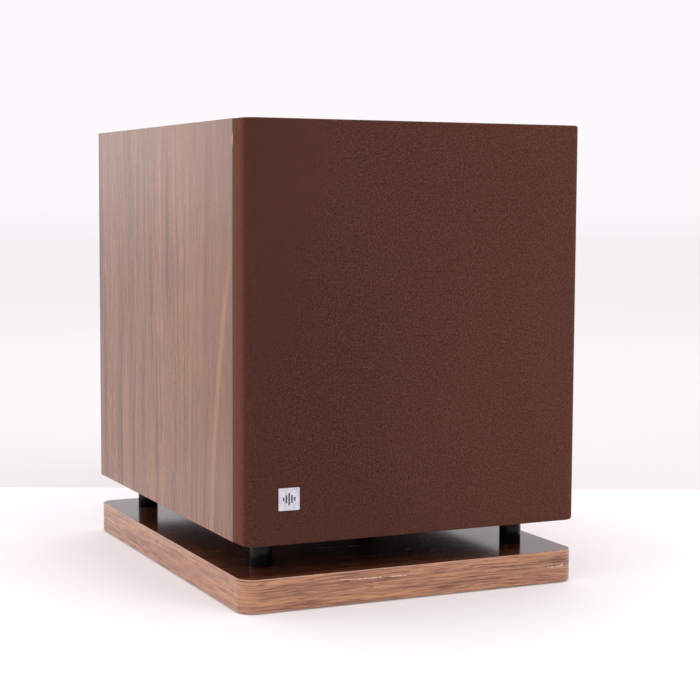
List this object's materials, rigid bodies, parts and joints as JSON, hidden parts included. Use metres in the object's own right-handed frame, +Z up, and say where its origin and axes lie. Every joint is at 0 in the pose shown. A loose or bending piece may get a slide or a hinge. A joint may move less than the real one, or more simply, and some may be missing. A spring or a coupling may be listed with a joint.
{
  "type": "subwoofer",
  "caption": "Floor-standing down-firing passive subwoofer: walnut-grain cabinet with a brown cloth grille, raised on short black posts over a matching plinth.",
  "frame": {"origin": "on the floor under the middle of the object, at the undersides of the foot pads", "axes": "+Z up, +Y towards the back, so the grille faces -Y, and +X to the right as seen from the front"},
  "size_m": [0.41, 0.522, 0.52],
  "materials": {
    "walnut_vinyl": "satin walnut-grain vinyl over particle board",
    "black_board": "board painted matt black",
    "raw_board": "raw particle board and hardboard",
    "wool": "polyester wadding",
    "felt": "dense felt",
    "gloss_black": "glossy black",
    "zinc_steel": "zinc plated",
    "grille_cloth": "brown woven grille cloth",
    "silver_plate": "satin silver with a thin dark relief pattern",
    "black_plastic": "satin black",
    "red_plastic": "semi-gloss red",
    "rubber": "matt black",
    "black_steel": "satin black",
    "cone_paper": "pressed paper pulp",
    "spider_cloth": "resin-stiffened cloth",
    "ferrite": "matt dark grey",
    "copper": "enamelled copper wire"
  },
  "bodies": {
    "cabinet": {"back_panel": "black_board", "bottom_panel": "black_board", "capacitor_left": "black_plastic", "capacitor_right": "black_plastic", "cross_brace": "raw_board", "crossover_board": "raw_board", "foot_pad_front_left": "felt", "foot_pad_front_right": "felt", "foot_pad_rear_left": "felt", "foot_pad_rear_right": "felt", "front_baffle": "black_board", "grille_socket_lower_left": "rubber", "grille_socket_lower_right": "rubber", "grille_socket_upper_left": "rubber", "grille_socket_upper_right": "rubber", "inductor_left": "copper", "inductor_right": "copper", "input_leads": "rubber", "left_side_panel": "walnut_vinyl", "magnet_ring": "ferrite", "magnet_top_plate": "zinc_steel", "magnet_yoke": "zinc_steel", "plinth": "walnut_vinyl", "post_bolt_front_left": "zinc_steel", "post_bolt_front_right": "zinc_steel", "post_bolt_rear_left": "zinc_steel", "post_bolt_rear_right": "zinc_steel", "post_front_left": "gloss_black", "post_front_right": "gloss_black", "post_rear_left": "gloss_black", "post_rear_right": "gloss_black", "right_side_panel": "walnut_vinyl", "terminal_plate": "black_plastic", "top_panel": "walnut_vinyl", "wadding_front": "wool", "wadding_top": "wool", "woofer_basket": "black_steel", "woofer_gasket": "rubber", "woofer_leads": "rubber", "woofer_lug_strip": "raw_board", "woofer_screw_1": "black_steel", "woofer_screw_2": "black_steel", "woofer_screw_3": "black_steel", "woofer_screw_4": "black_steel", "woofer_spider": "spider_cloth", "woofer_surround": "rubber"},
    "cone": {"woofer_cone": "cone_paper", "woofer_dust_cap": "cone_paper", "voice_coil": "copper"},
    "grille": {"grille_frame": "black_board", "grille_cloth": "grille_cloth", "badge_plate": "silver_plate", "grille_peg_lower_left": "black_plastic", "grille_peg_lower_right": "black_plastic", "grille_peg_upper_left": "black_plastic", "grille_peg_upper_right": "black_plastic"},
    "lever_left_positive": {"terminal_lever_left_positive": "red_plastic"},
    "lever_left_negative": {"terminal_lever_left_negative": "black_plastic"},
    "lever_right_positive": {"terminal_lever_right_positive": "red_plastic"},
    "lever_right_negative": {"terminal_lever_right_negative": "black_plastic"}
  },
  "joints": [
    {"name": "cone_travel", "type": "slide", "parent": "cabinet", "child": "cone", "axis": [0, 0, -1], "range_m": [-0.008, 0.008], "stiffness_N_per_m": 2500, "deforming": ["woofer_surround", "woofer_spider"]},
    {"name": "grille_pull", "type": "slide", "parent": "cabinet", "child": "grille", "axis": [0, -1, 0], "range_m": [0, 0.02]},
    {"name": "lever_left_positive_press", "type": "hinge", "parent": "cabinet", "child": "lever_left_positive", "pos_m": [-0.03, 0.2515, 0.209], "axis": [-1, 0, 0], "range_deg": [0, 20], "stiffness_Nm_per_rad": 0.05},
    {"name": "lever_left_negative_press", "type": "hinge", "parent": "cabinet", "child": "lever_left_negative", "pos_m": [-0.01, 0.2515, 0.209], "axis": [-1, 0, 0], "range_deg": [0, 20], "stiffness_Nm_per_rad": 0.05},
    {"name": "lever_right_positive_press", "type": "hinge", "parent": "cabinet", "child": "lever_right_positive", "pos_m": [0.01, 0.2515, 0.209], "axis": [-1, 0, 0], "range_deg": [0, 20], "stiffness_Nm_per_rad": 0.05},
    {"name": "lever_right_negative_press", "type": "hinge", "parent": "cabinet", "child": "lever_right_negative", "pos_m": [0.03, 0.2515, 0.209], "axis": [-1, 0, 0], "range_deg": [0, 20], "stiffness_Nm_per_rad": 0.05}
  ]
}
